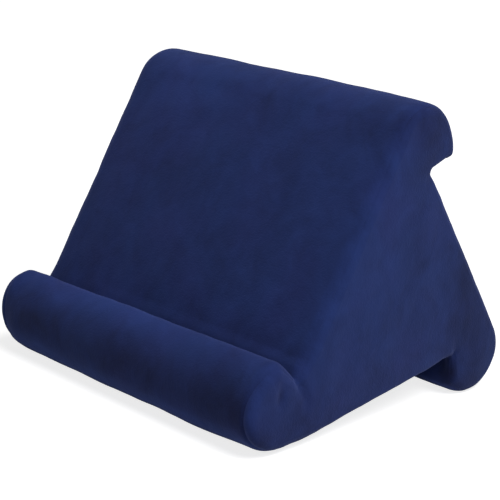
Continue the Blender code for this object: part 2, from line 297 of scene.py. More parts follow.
def side_relief(points):
    """How far each point (y, z) of a side stands proud of the flat profile."""
    edge = outline_distance(points, outline_points)
    puff = SIDE_PUFF * (1.0 - np.exp(-edge / SIDE_PUFF_REACH)) - fold(points)
    for row in HOLLOWS:
        puff -= hollow(points, *row)
    y, z = (points - DIMPLE).T
    return puff - DIMPLE_DEPTH * bell(y, DIMPLE_WIDTH) * bell(z, DIMPLE_HEIGHT)


NOTCH_FOLD = 1.1 * MM
NOTCH_FOLD_SIZE = 11.0 * MM
NOTCH_FOLD_REACH = 14.0 * MM


def notch_folds(points, x):
    """Little folds across the cover where it is pulled into the notches."""
    total = np.zeros(len(points))
    for corner, seed in ((front_notch, 1), (base_notch, 2), (back_notch, 3)):
        reach = np.hypot(*(points - corner).T)
        row = np.stack([x, np.full_like(x, seed), points @ np.array([0.35, 0.35])], 1)
        total += lumps(row, NOTCH_FOLD_SIZE, seed) * np.exp(-reach / NOTCH_FOLD_REACH)
    return NOTCH_FOLD * total


FULLNESS = 3.6 * MM
FULLEST_AT = 95.0
FULL_OVER = 42.0


def fuller_end(points, x):
    """The front roll's upper side, which is stuffed fuller towards its +X end."""
    reach, angle = round_roll(points, front_roll)
    outside = np.maximum(reach - ROLL_RADIUS, 0.0)
    upper = bell(outside, 2.0 * MM) * bell(angle - FULLEST_AT, FULL_OVER)
    return FULLNESS * upper * (0.5 + 0.5 * np.clip(x / HALF_WIDTH, -1.0, 1.0))


def along_base(point):
    """1 on the base face, and 0 on the front roll and beyond the base notch."""
    under = bell((point - front_leaves) @ base_up, 6.0 * MM)
    past_front = ((point - front_leaves) @ base_along - 30.0 * MM) / (8.0 * MM)
    past_notch = ((point - base_notch) @ base_along + 14.0 * MM) / (5.0 * MM)
    return under / (1.0 + np.exp(-past_front)) / (1.0 + np.exp(past_notch))


def easing(x, start, end):
    share = np.clip((x - start) / (end - start), 0.0, 1.0)
    return share ** 2 * (3.0 - 2.0 * share)


# The rolls' ends aren't quite round: the roll, at what angle and over how many degrees,
# how deep the seam draws it in there, and from which x to which that comes in.
UNEVEN_ENDS = (
    (front_roll, 265.0, 38.0, 2.2, 60.0, 140.0),
    (top_roll, 75.0, 25.0, 1.1, 60.0, 140.0),
    (top_roll, 30.0, 22.0, 1.8, 126.0, 140.0),
    (top_roll, 345.0, 18.0, -2.3, 126.0, 140.0),
    (front_roll, 130.0, 25.0, -2.4, -122.0, -140.0),
    (front_roll, 200.0, 38.0, 2.6, -122.0, -140.0))
ROLL_SKIN = 3.0 * MM

# How far in y and z the seams at both ends pull a notch's tip, how far along the
# notch's sides that reaches, and from which distance from the middle to which.
PULLED_TIPS = (
    (base_notch, (-4.0, 2.0), 26.0, 134.0, 142.0),
    (back_notch, (-5.2, 2.2), 22.0, 126.0, 138.0))

# The base face is lifted towards both ends, beyond the zip's tapes.
BASE_LIFT = 2.0 * MM
LIFT_FROM = 134.0 * MM
LIFT_TO = 142.0 * MM


def drawn_in(point, way, across):
    """The (y, z) shift by which the seams draw the section in towards its ends."""
    lift = BASE_LIFT * along_base(point)[:, None] * base_up
    total = lift[:, None, :] * easing(np.abs(across), LIFT_FROM, LIFT_TO)[:, :, None]
    for corner, pull, reach, start, end in PULLED_TIPS:
        near = np.clip(1.0 - length_of((point - corner).T) / (reach * MM), 0.0, 1.0)
        ramp = easing(np.abs(across), start * MM, end * MM)
        total += (near[:, None] * np.array(pull) * MM)[:, None, :] * ramp[:, :, None]
    for centre, mark, width, depth, start, end in UNEVEN_ENDS:
        reach, angle = round_roll(point, centre)
        amount = depth * MM * bell(reach - ROLL_RADIUS, ROLL_SKIN)
        amount = amount * bell(turned_past(angle, mark), width)
        ramp = easing(across, start * MM, end * MM)
        total -= (way * amount[:, None])[:, None, :] * ramp[:, :, None]
    return total


def front_rim(points):
    """1 where the front roll's end faces forward, and its seam is pulled tight."""
    reach, angle = round_roll(points, front_roll)
    inside = np.minimum(reach - ROLL_RADIUS, 0.0)
    return bell(inside, 12.0 * MM) * bell(turned_past(angle, 180.0), 50.0)


def seam_relief(distance, run, seed, tight):
    """The stitched-in line of a seam, and the fabric's little puckers beside it."""
    groove = -(0.3 + 0.5 * tight) * MM * bell(distance, (1.1 + 0.5 * tight) * MM)
    line = np.stack([run, np.full_like(run, seed), np.zeros_like(run)], 1)
    pucker = 0.2 * MM * lumps(line, 8.0 * MM, seed) * np.exp(-distance / (5.0 * MM))
    return groove + pucker


# How much tighter than round a roll the edge turns over, at a notch and on the base.
TIGHT_NOTCHES = ((front_notch, 0.3), (base_notch, 0.3), (back_notch, 0.5))
TIGHT_REACH = 15.0 * MM
TIGHT_BASE = 0.45


def edge_shape(point):
    """How wide and how deep the rounding over to a side is at each station.

    It is tight where the cover is pulled into a notch and along the base, where
    the cushion's weight presses it flat, and full round the rolls.
    """
    tight = TIGHT_BASE * along_base(point)
    for corner, amount in TIGHT_NOTCHES:
        tight = np.maximum(tight, amount * bell(length_of((point - corner).T), TIGHT_REACH))
    return EDGE_RUN * (1.0 - tight), EDGE_DROP * (1.0 - tight)


# Beside the front roll's rim the end stands up like a pillow, and the seam leans on it.
RIM_LEAN = math.radians(22.0)
RIM_PILLOW = 1.3 * MM
RIM_PILLOW_WIDTH = 7.0 * MM
HALF_OVER = math.radians(45.0)


def layer(stations, columns, depth, sink=None):
    """Points of one layer of the cushion, rows of stations by columns across it.

    A column is (x, turn, side, seam): its place on the flat run, how far it has
    turned over the edge to a side, and its distance from the seam there.
    """
    rows = len(stations)
    count = len(columns)
    point = np.array([s[0] for s in stations])
    way = np.array([s[1] for s in stations])
    crown = np.array([s[2] for s in stations])
    swell = np.array([s[3] for s in stations])
    run = np.concatenate([[0.0], np.cumsum(np.hypot(*np.diff(point, axis=0).T))])
    column = np.array(columns)
    x, turn, side, seam = column.T

    tight = front_rim(point)
    lean = RIM_LEAN * tight
    leaning = turn[None, :] - lean[:, None] * np.sin(2.0 * turn)[None, :]
    sine = np.sin(leaning)
    cosine = np.cos(leaning)
    run_out, drop = edge_shape(point)
    reach = side * ((run_out[:, None] - depth) * sine)
    spare = np.clip((np.abs(x) - SLOT_HALF_LENGTH) / (FLAT_END - SLOT_HALF_LENGTH), 0.0, 1.0)
    stretched = x + np.sign(x) * spare * (EDGE_RUN - run_out[:, None])
    across = np.where(turn > 0.0, side * (HALF_WIDTH - run_out[:, None]) + reach, stretched)
    far = np.abs(across) / HALF_WIDTH
    wrap = CROWN * crown[:, None] * (1.0 - far ** 4) + SWELL * swell[:, None] * (1.0 - far ** 6)
    inset = drop[:, None] * (1.0 - cosine) + depth * cosine
    flat = point[:, None, :] - way[:, None, :] * inset[:, :, None] + drawn_in(point, way, across)

    flat_list = flat.reshape(-1, 2)
    x_list = across.reshape(-1)
    full = np.stack([x_list, flat_list[:, 0], flat_list[:, 1]], 1)
    proud = (wrap * cosine ** 2).reshape(-1)
    sides = (sine ** 2).reshape(-1)
    proud = proud + side_relief(flat_list) * sides
    proud = proud + lumpy(full) + notch_folds(flat_list, x_list) * (1.0 - sides)
    runs = np.repeat(run[:, None], count, 1).reshape(-1)
    seams = np.repeat(seam[None, :], rows, 0).reshape(-1)
    tight = np.repeat(tight, count)
    beside = np.sin(np.pi * np.clip(seam / RIM_PILLOW_WIDTH, 0.0, 1.0))
    pillow = np.tile(np.where(turn > HALF_OVER, beside, 0.0), rows)
    proud = proud + RIM_PILLOW * tight * pillow
    proud = proud + seam_relief(seams, runs, 6, tight)
    proud = proud + fuller_end(flat_list, x_list) * (1.0 - sides)
    if sink is not None:
        proud = proud - np.repeat(np.array(sink)[:, None], count, 1).reshape(-1)

    out_x = (side * sine).reshape(-1)
    out_yz = (way[:, None, :] * cosine[:, :, None]).reshape(-1, 2)
    full[:, 0] += out_x * proud
    full[:, 1:] += out_yz * proud[:, None]
    full[:, 2] = np.maximum(full[:, 2], depth)
    return full


# Columns stand at these distances from a seam, which is half way over the edge, with
# the flat run this far off.
SEAM_STEPS = [d * MM for d in (0.01, 0.5, 0.95, 1.5, 2.3, 3.4, 5.0, 7.0)]
SEAM_TO_FLAT = 7.2 * MM


def edge_columns(side, flat_side=False):
    """Columns from a seam to the flat, on the wrap's own side of it or the end's."""
    columns = []
    for distance in SEAM_STEPS:
        share = distance / SEAM_TO_FLAT * HALF_OVER
        turn = HALF_OVER + (share if flat_side else -share)
        columns.append((side * HALF_WIDTH, turn, side, distance))
    return columns


def flat_column(x):
    return x, 0.0, 1.0, FLAT_END - abs(x) + SEAM_TO_FLAT


def across_columns(stops):
    """Columns of a panel that runs from one side seam to the other."""
    flat = []
    for start, end in zip(stops, stops[1:]):
        steps = max(1, round((end - start) / (3.0 * MM)))
        flat += [start + (end - start) * k / steps for k in range(steps)]
    flat.append(stops[-1])
    return edge_columns(-1.0) + [flat_column(x) for x in flat] + edge_columns(1.0)[::-1]


def new_object(name, points, faces):
    """A mesh object in the scene, smoothly shaded."""
    mesh = bpy.data.meshes.new(name)
    mesh.from_pydata(np.asarray(points).tolist(), [], faces)
    mesh.shade_smooth()
    obj = bpy.data.objects.new(name, mesh)
    bpy.context.scene.collection.objects.link(obj)
    return obj


def open_edges(faces):
    """The directed edges that only one face has, in that face's order."""
    seen = set()
    for face in faces:
        seen.update(zip(face, face[1:] + face[:1]))
    return [(a, b) for a, b in seen if (b, a) not in seen]


def solid_of(name, outer, inner, faces):
    """A closed piece from an outer and an inner skin that share their faces."""
    points = np.concatenate([outer, inner])
    rim = open_edges(faces)
    shift = len(outer)
    polygons = [tuple(f) for f in faces]
    polygons += [tuple(i + shift for i in reversed(f)) for f in faces]
    polygons += [(b, a, a + shift, b + shift) for a, b in rim]
    used = sorted({i for f in polygons for i in f})
    number = {i: k for k, i in enumerate(used)}
    obj = new_object(name, points[used], [[number[i] for i in f] for f in polygons])
    cut = {frozenset((number[a + s], number[b + s])) for a, b in rim for s in (0, shift)}
    for edge in obj.data.edges:
        edge.use_edge_sharp = frozenset(edge.vertices) in cut
    return obj


def grid_faces(rows, count, keep=None, closed=False):
    """Faces between rows of points, apart from those left out, and round to row 0."""
    faces = []
    for r in range(rows if closed else rows - 1):
        a, b = r * count, (r + 1) % rows * count
        faces += [(a + c, b + c, b + c + 1, a + c + 1)
                  for c in range(count - 1) if keep is None or keep(r, c)]
    return faces


def side_filling(ring, spacing):
    """Points and triangles that fill a closed ring (y, z), ring points first."""
    low = ring.min(0)
    high = ring.max(0)
    inner = []
    row_height = spacing * math.sqrt(0.75)
    for r in range(int((high[1] - low[1]) / row_height) + 1):
        for c in range(int((high[0] - low[0]) / spacing) + 1):
            shift = 0.5 * (r % 2)
            inner.append((low[0] + (c + shift) * spacing, low[1] + r * row_height))
    inner = np.array(inner)
    inner = inner[outline_distance(inner, ring) > 0.55 * spacing]
    inner = inner[np.array([inside_ring(p, ring) for p in inner])]
    every = [Vector(p) for p in np.concatenate([ring, inner])]
    border = list(range(len(ring)))
    result = geometry.delaunay_2d_cdt(every, [], [border], 1, 1e-7)
    return np.array([tuple(v) for v in result[0]]), [tuple(f) for f in result[2]]


def inside_ring(point, ring):
    y, z = point
    following = np.roll(ring, -1, axis=0)
    crosses = (ring[:, 1] > z) != (following[:, 1] > z)
    rise = np.where(crosses, following[:, 1] - ring[:, 1], 1.0)
    at = ring[:, 0] + (z - ring[:, 1]) / rise * (following[:, 0] - ring[:, 0])
    return (crosses & (at > y)).sum() % 2 == 1


def linear(hex_colour):
    """An sRGB hex colour as linear RGBA."""
    parts = [int(hex_colour[i:i + 2], 16) / 255.0 for i in (1, 3, 5)]
    return [c / 12.92 if c <= 0.04045 else ((c + 0.055) / 1.055) ** 2.4 for c in parts] + [1.0]


def add_node(tree, kind, inputs, colours=(), **settings):
    """A node with its settings and, on a colour ramp, its two places and colours. An
    input is a value, a socket to link from, or a node whose first output is linked."""
    node = tree.nodes.new("ShaderNode" + kind)
    for key, value in settings.items():
        setattr(node, key, value)
    for k, (place, hex_colour) in enumerate(colours):
        node.color_ramp.elements[k].position = place
        node.color_ramp.elements[k].color = linear(hex_colour)
    for key, value in inputs.items():
        if isinstance(value, bpy.types.Node):
            value = value.outputs[0]
        if isinstance(value, bpy.types.NodeSocket):
            tree.links.new(value, node.inputs[key])
        else:
            node.inputs[key].default_value = value
    return node


def new_material(name):
    """An empty material, its tree, and the place on the object, in metres."""
    material = bpy.data.materials.new(name)
    material.use_nodes = True
    tree = material.node_tree
    tree.nodes.clear()
    return material, tree, add_node(tree, "TexCoord", {}).outputs["Object"]


# Cushion foam: pale cream polyurethane, open cells about a millimetre across.
FOAM_CELL = 1.2 * MM


def make_foam():
    material, tree, place = new_material("cushion_foam")
    cells = add_node(tree, "TexVoronoi", {"Vector": place, "Scale": 1.0 / FOAM_CELL})
    colour = add_node(tree, "ValToRGB", {"Fac": cells}, ((0.0, "#d9cda6"), (1.0, "#f2ead0")))
    pores = add_node(tree, "Bump", {"Height": cells, "Strength": 0.6, "Distance": 0.4 * MM})
    shader = add_node(tree, "BsdfPrincipled", {
        "Base Color": colour, "Roughness": 0.95, "Specular IOR Level": 0.1, "Normal": pores})
    add_node(tree, "OutputMaterial", {"Surface": shader})
    return material


foam_material = make_foam()
FOAM_DEPTH = COVER_THICKNESS + 0.5 * MM
FOAM_TO_SEAM = 9.0 * MM
FOAM_COLUMNS = 46
FOAM_END_SPACING = 6.0 * MM
TAPE_CHANNEL = 1.4 * MM
SLIDER_CHANNEL = 2.6 * MM
CHANNEL_EDGES = (-14.5, -4.9, 4.9, 14.5)
CLEAR_OF_CHANNEL = 15.0 * MM


def build_foam_core():
    """The block, pressed in along the zip by its tape and its slider."""
    channel = [base_station((e + s) * MM) for e in CHANNEL_EDGES for s in (-0.1, 0.1)]
    sinks = [0.0, TAPE_CHANNEL, TAPE_CHANNEL, SLIDER_CHANNEL]
    sinks += sinks[::-1]

    def clear(stations):
        return [s for s in stations if abs((s[0] - zip_middle) @ base_along) > CLEAR_OF_CHANNEL]

    first = to_front_notch + front_lobe + clear(base_face)
    last = clear(behind_zip) + to_base_notch + rear_lobe + back_face + to_back_notch
    last += top_lobe + front_face
    stations = first + channel + last
    sink = [0.0] * len(first) + sinks + [0.0] * len(last)
    turns = [math.radians(90.0 - 15.0 * k) for k in range(6)]
    left = [(-HALF_WIDTH, t, -1.0, FOAM_TO_SEAM) for t in turns]
    right = [(HALF_WIDTH, t, 1.0, FOAM_TO_SEAM) for t in reversed(turns)]
    flat = [-FLAT_END + 2.0 * FLAT_END * k / FOAM_COLUMNS for k in range(FOAM_COLUMNS + 1)]
    columns = left + [(x, 0.0, 1.0, FOAM_TO_SEAM) for x in flat] + right
    points = layer(stations, columns, FOAM_DEPTH, sink)
    rows = len(stations)
    count = len(columns)
    faces = grid_faces(rows, count, closed=True)
    ends = []
    total = len(points)
    for c, side in ((0, -1.0), (count - 1, 1.0)):
        ring = [r * count + c for r in range(rows)]
        flat_points, triangles = side_filling(points[ring][:, 1:], FOAM_END_SPACING)
        extra = flat_points[rows:]
        proud = HALF_WIDTH - FOAM_DEPTH + side_relief(extra)
        ends.append(np.column_stack([side * proud, extra]))
        number = ring + list(range(total, total + len(extra)))
        total += len(extra)
        order = 1 if side < 0.0 else -1
        faces += [tuple(number[i] for i in t)[::order] for t in triangles]
    block = new_object("foam_block", np.concatenate([points] + ends), faces)
    block.data.validate()
    block.data.materials.append(foam_material)
    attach(block, "cushion")
    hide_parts("foam_core")


build_foam_core()


# Wrapping panels
# Three long strips of plush that run right across the cushion: one over the top
# roll and down the front, one round the front roll and under the base, and one
# round the rear roll and up the back. They meet in the notches and at the zip.

# Plush: short-pile polyester velour, dyed navy. The pile lies in patches, so the
# colour wanders between a lighter and a darker navy, and its edge catches light. A
# real tuft is about half a millimetre across, and is drawn coarser so that it shows.
FIBRE_TUFT = 1.6 * MM
NAP_PATCH = 26.0 * MM
NAP_STROKE = 9.0 * MM
DYE_PATCH = 60.0 * MM


def make_plush(name, painted_light_and_shade):
    """Plush with light and shade painted into its colour in places: each place's middle
    and its reaches in millimetres, and by how much the colour is painted lighter or darker there."""
    material, tree, place = new_material(name)
    brushed_down = add_node(tree, "Mapping", {"Vector": place, "Scale": (1.0, 1.0, 0.8)})
    patches = add_node(tree, "TexNoise", {
        "Vector": brushed_down, "Scale": 1.0 / NAP_PATCH, "Detail": 3.0, "Roughness": 0.6,
        "Distortion": 0.5})
    strokes = add_node(tree, "TexNoise", {
        "Vector": brushed_down, "Scale": 1.0 / NAP_STROKE, "Detail": 4.0, "Roughness": 0.6})
    tufts = add_node(tree, "TexNoise", {
        "Vector": place, "Scale": 1.0 / FIBRE_TUFT, "Detail": 2.0, "Roughness": 0.7})
    nap = add_node(tree, "Mix", {"Factor": 0.22, "A": patches, "B": strokes}, data_type="FLOAT")
    nap_and_painted_light = add_node(tree, "Mix", {"Factor": 0.12, "A": nap, "B": tufts}, data_type="FLOAT")
    # Each place paints light or shade into the colour: painted highlights and painted shade, not a
    # change in the pile.
    for middle, reach, amount in painted_light_and_shade:
        offset = add_node(tree, "VectorMath", {
            0: place, 1: [c * MM for c in middle]}, operation="SUBTRACT")
        share = add_node(tree, "VectorMath", {
            0: offset, 1: [r * MM for r in reach]}, operation="DIVIDE")
        apart = add_node(tree, "VectorMath", {0: share}, operation="LENGTH")
        painted_patch = add_node(tree, "MapRange", {
            "Value": apart.outputs["Value"], "To Min": amount, "To Max": 0.0},
            interpolation_type="SMOOTHSTEP")
        nap_and_painted_light = add_node(tree, "Math", {0: nap_and_painted_light, 1: painted_patch}, operation="ADD")
    dye = add_node(tree, "TexNoise", {"Vector": place, "Scale": 1.0 / DYE_PATCH, "Detail": 2.0})
    cool = add_node(tree, "ValToRGB", {"Fac": nap_and_painted_light}, ((0.0, "#0f1535"), (0.8, "#263871")))
    warm = add_node(tree, "ValToRGB", {"Fac": nap_and_painted_light}, ((0.0, "#101335"), (0.8, "#293771")))
    share = add_node(tree, "MapRange", {"Value": dye, "From Min": 0.42, "From Max": 0.7})
    colour = add_node(tree, "Mix", {"Factor": share, 6: cool, 7: warm}, data_type="RGBA")
    fuzz = add_node(tree, "Bump", {"Height": tufts, "Strength": 0.55, "Distance": 0.5 * MM})
    brushed = add_node(tree, "Bump", {
        "Height": strokes, "Strength": 0.3, "Distance": 0.9 * MM, "Normal": fuzz})
    shader = add_node(tree, "BsdfPrincipled", {
        "Base Color": colour.outputs[2], "Roughness": 0.92, "Specular IOR Level": 0.12,
        "Sheen Weight": 0.35, "Sheen Roughness": 0.45, "Sheen Tint": linear("#8d9ad8"),
        "Normal": brushed})
    add_node(tree, "OutputMaterial", {"Surface": shader})
    return material


# Painted light and shade on the wraps, in millimetres: places painted lighter or darker, such as
# painted shade in the base notch and painted light along the front roll's underside.
WRAP_PAINTED_LIGHT = (
    ((144.0, 10.0, 224.0), (80.0, 60.0, 50.0), -0.12),
    ((-110.0, -10.0, 210.0), (90.0, 60.0, 60.0), 0.18),
    ((-60.0, -3.0, 216.0), (70.0, 40.0, 26.0), 0.2),
    ((144.0, 84.0, 24.0), (22.0, 13.0, 24.0), -0.6),
    ((10.0, -138.0, 36.0), (170.0, 20.0, 28.0), -0.24),
    ((122.0, -134.0, 40.0), (50.0, 26.0, 36.0), -0.38),
    ((-40.0, -116.0, 64.0), (150.0, 24.0, 24.0), 0.28),
    ((-104.0, -136.0, 36.0), (60.0, 30.0, 28.0), -0.3),
    ((30.0, -138.0, 36.0), (40.0, 20.0, 24.0), -0.12),
    ((-10.0, -131.0, 9.0), (190.0, 18.0, 15.0), 0.35),
    ((108.0, 88.0, 4.0), (40.0, 18.0, 12.0), 0.9),
    ((90.0, -134.0, 10.0), (70.0, 16.0, 14.0), 0.3),
    ((-100.0, -136.0, 16.0), (40.0, 16.0, 16.0), 0.3),
    ((-78.0, -127.0, 58.0), (22.0, 14.0, 18.0), 0.22),
    ((3.0, -117.0, 64.0), (26.0, 24.0, 20.0), 0.15))

wrap_plush = make_plush("navy_plush_wraps", WRAP_PAINTED_LIGHT)


def dress_panel(obj, node, plush):
    obj.data.materials.append(plush)
    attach(obj, "cushion")
    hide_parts(node)


def build_wrap(name, node, stations, open_row=None):
    """One strip. The zip's slot is left out of the row of faces that it opens."""
    slot = [] if open_row is None else [-SLOT_HALF_LENGTH, SLOT_HALF_LENGTH]
    columns = across_columns([-FLAT_END, *slot, FLAT_END])
    x = np.array([c[0] if c[1] == 0.0 else c[2] for c in columns])
    beside = np.abs(x[1:] + x[:-1]) / 2.0 > SLOT_HALF_LENGTH
    faces = grid_faces(len(stations), len(columns), lambda r, c: r != open_row or beside[c])
    outer = layer(stations, columns, 0.0)
    inner = layer(stations, columns, COVER_THICKNESS)
    dress_panel(solid_of(name, outer, inner, faces), node, wrap_plush)


front_strip = top_lobe + front_face + to_front_notch
build_wrap("front_cover", "front_panel", front_strip)

base_strip = front_lobe + base_face
base_strip += [base_station(-SLOT_HALF_WIDTH), base_station(-SEAM_GAP / 2.0)]
build_wrap("base_cover", "base_panel", base_strip, len(base_strip) - 2)

back_strip = [base_station(SEAM_GAP / 2.0), base_station(SLOT_HALF_WIDTH)] + behind_zip
back_strip += to_base_notch + rear_lobe + back_face + to_back_notch
build_wrap("back_cover", "back_panel", back_strip, 0)


# Side panels
# Two ends cut to the profile and sewn to the strips all round. The foam fills
# them softly, and each notch draws a crease into them round its roll.

# The ends get their own painted light and shade, places painted lighter or darker, so their navy
# changes at the seam.
END_PAINTED_LIGHT = (
    ((144.0, 25.0, 218.0), (60.0, 60.0, 60.0), -0.3),
    ((144.0, 85.0, 100.0), (60.0, 50.0, 110.0), -0.3),
    ((144.0, 5.0, 204.0), (60.0, 22.0, 26.0), 0.2),
    ((144.0, -60.0, 75.0), (60.0, 60.0, 60.0), 0.12),
    ((144.0, -111.0, 44.5), (8.0, 5.5, 10.0), -0.3),
    ((144.0, -90.0, 10.0), (60.0, 80.0, 34.0), -0.24),
    ((140.0, -138.0, 34.0), (20.0, 14.0, 34.0), 0.2),
    ((144.0, 115.0, 40.0), (40.0, 44.0, 50.0), -0.22),
    ((144.0, 104.0, 8.0), (40.0, 30.0, 24.0), -0.2),
    ((144.0, 80.0, 23.0), (20.0, 9.0, 16.0), -0.45),
    ((144.0, -30.0, 125.0), (60.0, 60.0, 55.0), 0.07),
    ((144.0, -128.0, 14.0), (20.0, 14.0, 14.0), -0.2))
END_SPACING = 3.4 * MM

end_plush = make_plush("navy_plush_ends", END_PAINTED_LIGHT)


def build_side(name, node, side):
    stations = whole_outline
    columns = edge_columns(side, flat_side=True)
    rows = len(stations)
    count = len(columns)
    skins = []
    for depth in (0.0, COVER_THICKNESS):
        points = layer(stations, columns, depth)
        if depth == 0.0:
            ring = [r * count + count - 1 for r in range(rows)]
            flat_points, triangles = side_filling(points[ring][:, 1:], END_SPACING)
            extra = flat_points[rows:]
        spread = np.column_stack([np.full(len(extra), side * HALF_WIDTH), extra])
        proud = HALF_WIDTH - depth + side_relief(extra)
        proud += lumpy(spread)
        skins.append(np.concatenate([points, np.column_stack([side * proud, extra])]))
    faces = grid_faces(rows, count, closed=True)
    number = ring + list(range(rows * count, rows * count + len(extra)))
    faces += [tuple(number[i] for i in t)[::-1] for t in triangles]
    if side < 0.0:
        faces = [f[::-1] for f in faces]
    dress_panel(solid_of(name, *skins, faces), node, end_plush)


build_side("left_end_cover", "side_panel_left", -1.0)
build_side("right_end_cover", "side_panel_right", 1.0)


# Zip tapes
# Two strips of woven polyester tape, dyed navy with the cover and stitched behind
# the slot's edges. Their herringbone shows on either side of the chain.

# Woven polyester tape: a flat herringbone of fine yarn. The yarn is drawn at twice
# its real thickness, so that its ribs still show beside the chain.
TAPE_YARN = 0.6 * MM
HERRINGBONE = 2.4 * MM


def make_tape():
    material, tree, place = new_material("woven_polyester_tape")
    level = add_node(tree, "Mapping", {
        "Vector": place, "Rotation": (-angle_of(base_along), 0.0, 0.0)})
    part = add_node(tree, "SeparateXYZ", {"Vector": level})
    zigzag = add_node(tree, "Math", {0: part.outputs["Y"], 1: HERRINGBONE}, operation="PINGPONG")
    slant = add_node(tree, "Math", {0: part.outputs["X"], 1: zigzag}, operation="ADD")
    phase = add_node(tree, "Math", {0: slant, 1: 2.0 * math.pi / TAPE_YARN}, operation="MULTIPLY")
    ribs = add_node(tree, "Math", {0: phase}, operation="SINE")
    height = add_node(tree, "MapRange", {"Value": ribs, "From Min": -1.0, "From Max": 1.0})
    colour = add_node(tree, "ValToRGB", {"Fac": height}, ((0.0, "#12183a"), (1.0, "#2a3565")))
    weave = add_node(tree, "Bump", {"Height": height, "Strength": 0.7, "Distance": 0.15 * MM})
    shader = add_node(tree, "BsdfPrincipled", {
        "Base Color": colour, "Roughness": 0.8, "Specular IOR Level": 0.25, "Normal": weave})
    add_node(tree, "OutputMaterial", {"Surface": shader})
    return material


tape = make_tape()
for tape_name in ("zip_tape_front", "zip_tape_rear"):
    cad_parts[tape_name].material_slots[0].material = tape


# Zip chain
# Each half is one nylon monofilament wound into a flat coil and sewn down to its
# tape's edge by two rows of thread. The heads of one lie between those of the other,
# all along, because the zip is shown closed.

COIL_PITCH = 1.41 * MM
FILAMENT = 0.3 * MM
COIL_HEAD = -0.3 * MM
COIL_TAIL = 2.9 * MM
COIL_LOW = 0.3 * MM
COIL_HIGH = COVER_THICKNESS
COIL_STEPS = 14
CHAIN_HALF_LENGTH = stop_low.x - SEAM_GAP
SEWING_ROWS = (1.35 * MM, 2.15 * MM)
SEWING_RADIUS = 0.12 * MM


def on_base(points):
    """Points (x, distance along the base, depth) beside the zip, as points in space."""
    x, distance, depth = np.asarray(points).T
    level = zip_middle + np.outer(distance, base_along) + np.outer(depth, base_up)
    return np.column_stack([x, level])


def strand(path, outward, radius, sides):
    """Points and faces of a round strand along a path beside the zip, ends closed."""
    path = on_base(path)
    outward = on_base(outward) - on_base([(0.0, 0.0, 0.0)])
    heading = np.gradient(path, axis=0)
    heading /= np.linalg.norm(heading, axis=1)[:, None]
    rise = outward - (outward * heading).sum(1)[:, None] * heading
    rise /= np.linalg.norm(rise, axis=1)[:, None]
    across = np.cross(heading, rise)
    turn = np.arange(sides) * 2.0 * math.pi / sides
    ring = np.cos(turn)[:, None] * rise[:, None, :] + np.sin(turn)[:, None] * across[:, None, :]
    width = np.broadcast_to(radius, len(path))
    points = (path[:, None, :] + width[:, None, None] * ring).reshape(-1, 3)
    faces = []
    for r in range(len(path) - 1):
        for c in range(sides):
            n = (c + 1) % sides
            faces.append((r * sides + c, r * sides + n, (r + 1) * sides + n, (r + 1) * sides + c))
    faces.append(tuple(reversed(range(sides))))
    faces.append(tuple((len(path) - 1) * sides + c for c in range(sides)))
    return points, faces


def gathered(shapes):
    """Several shapes' points and faces as one list of each."""
    points = np.concatenate([shape[0] for shape in shapes])
    faces = []
    start = 0
    for own_points, own_faces in shapes:
        faces += [tuple(i + start for i in face) for face in own_faces]
        start += len(own_points)
    return points, faces


def mesh_piece(name, points, faces, material, body, slot, crisp=None):
    obj = new_object(name, points, faces)
    if crisp is not None:
        obj.data.set_sharp_from_angle(angle=math.radians(crisp))
    obj.data.materials.append(material)
    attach(obj, body)
    return obj


# Nylon monofilament: drawn smooth and dyed in the melt, so each turn has its own
# narrow, soft highlight over a dark navy.
def make_nylon():
    material, tree, place = new_material("drawn_nylon_filament")
    grain = add_node(tree, "TexNoise", {"Vector": place, "Scale": 1.0 / (1.5 * MM), "Detail": 3.0})
    colour = add_node(tree, "ValToRGB", {"Fac": grain}, ((0.0, "#12173a"), (1.0, "#262e5a")))
    gloss = add_node(tree, "MapRange", {"Value": grain, "To Min": 0.28, "To Max": 0.45})
    shader = add_node(tree, "BsdfPrincipled", {
        "Base Color": colour, "Roughness": gloss, "IOR": 1.53})
    add_node(tree, "OutputMaterial", {"Surface": shader})
    return material


# Spun polyester thread: two plies twisted together, matt, a little paler than the
# cloth because it has no pile to shade it.
def make_thread():
    material, tree, place = new_material("spun_polyester_thread")
    twist = add_node(tree, "TexWave", {
        "Vector": place, "Scale": 1.0 / (6.0 * MM), "Distortion": 1.0},
        bands_direction="DIAGONAL")
    colour = add_node(tree, "ValToRGB", {"Fac": twist.outputs["Fac"]},
                      ((0.0, "#222b58"), (1.0, "#3a4781")))
    plies = add_node(tree, "Bump", {
        "Height": twist.outputs["Fac"], "Strength": 0.6, "Distance": 0.08 * MM})
    shader = add_node(tree, "BsdfPrincipled", {
        "Base Color": colour, "Roughness": 0.75, "Specular IOR Level": 0.25, "Normal": plies})
    add_node(tree, "OutputMaterial", {"Surface": shader})
    return material


nylon = make_nylon()
thread = make_thread()


def squared(value):
    return np.sign(value) * np.abs(value) ** 0.7


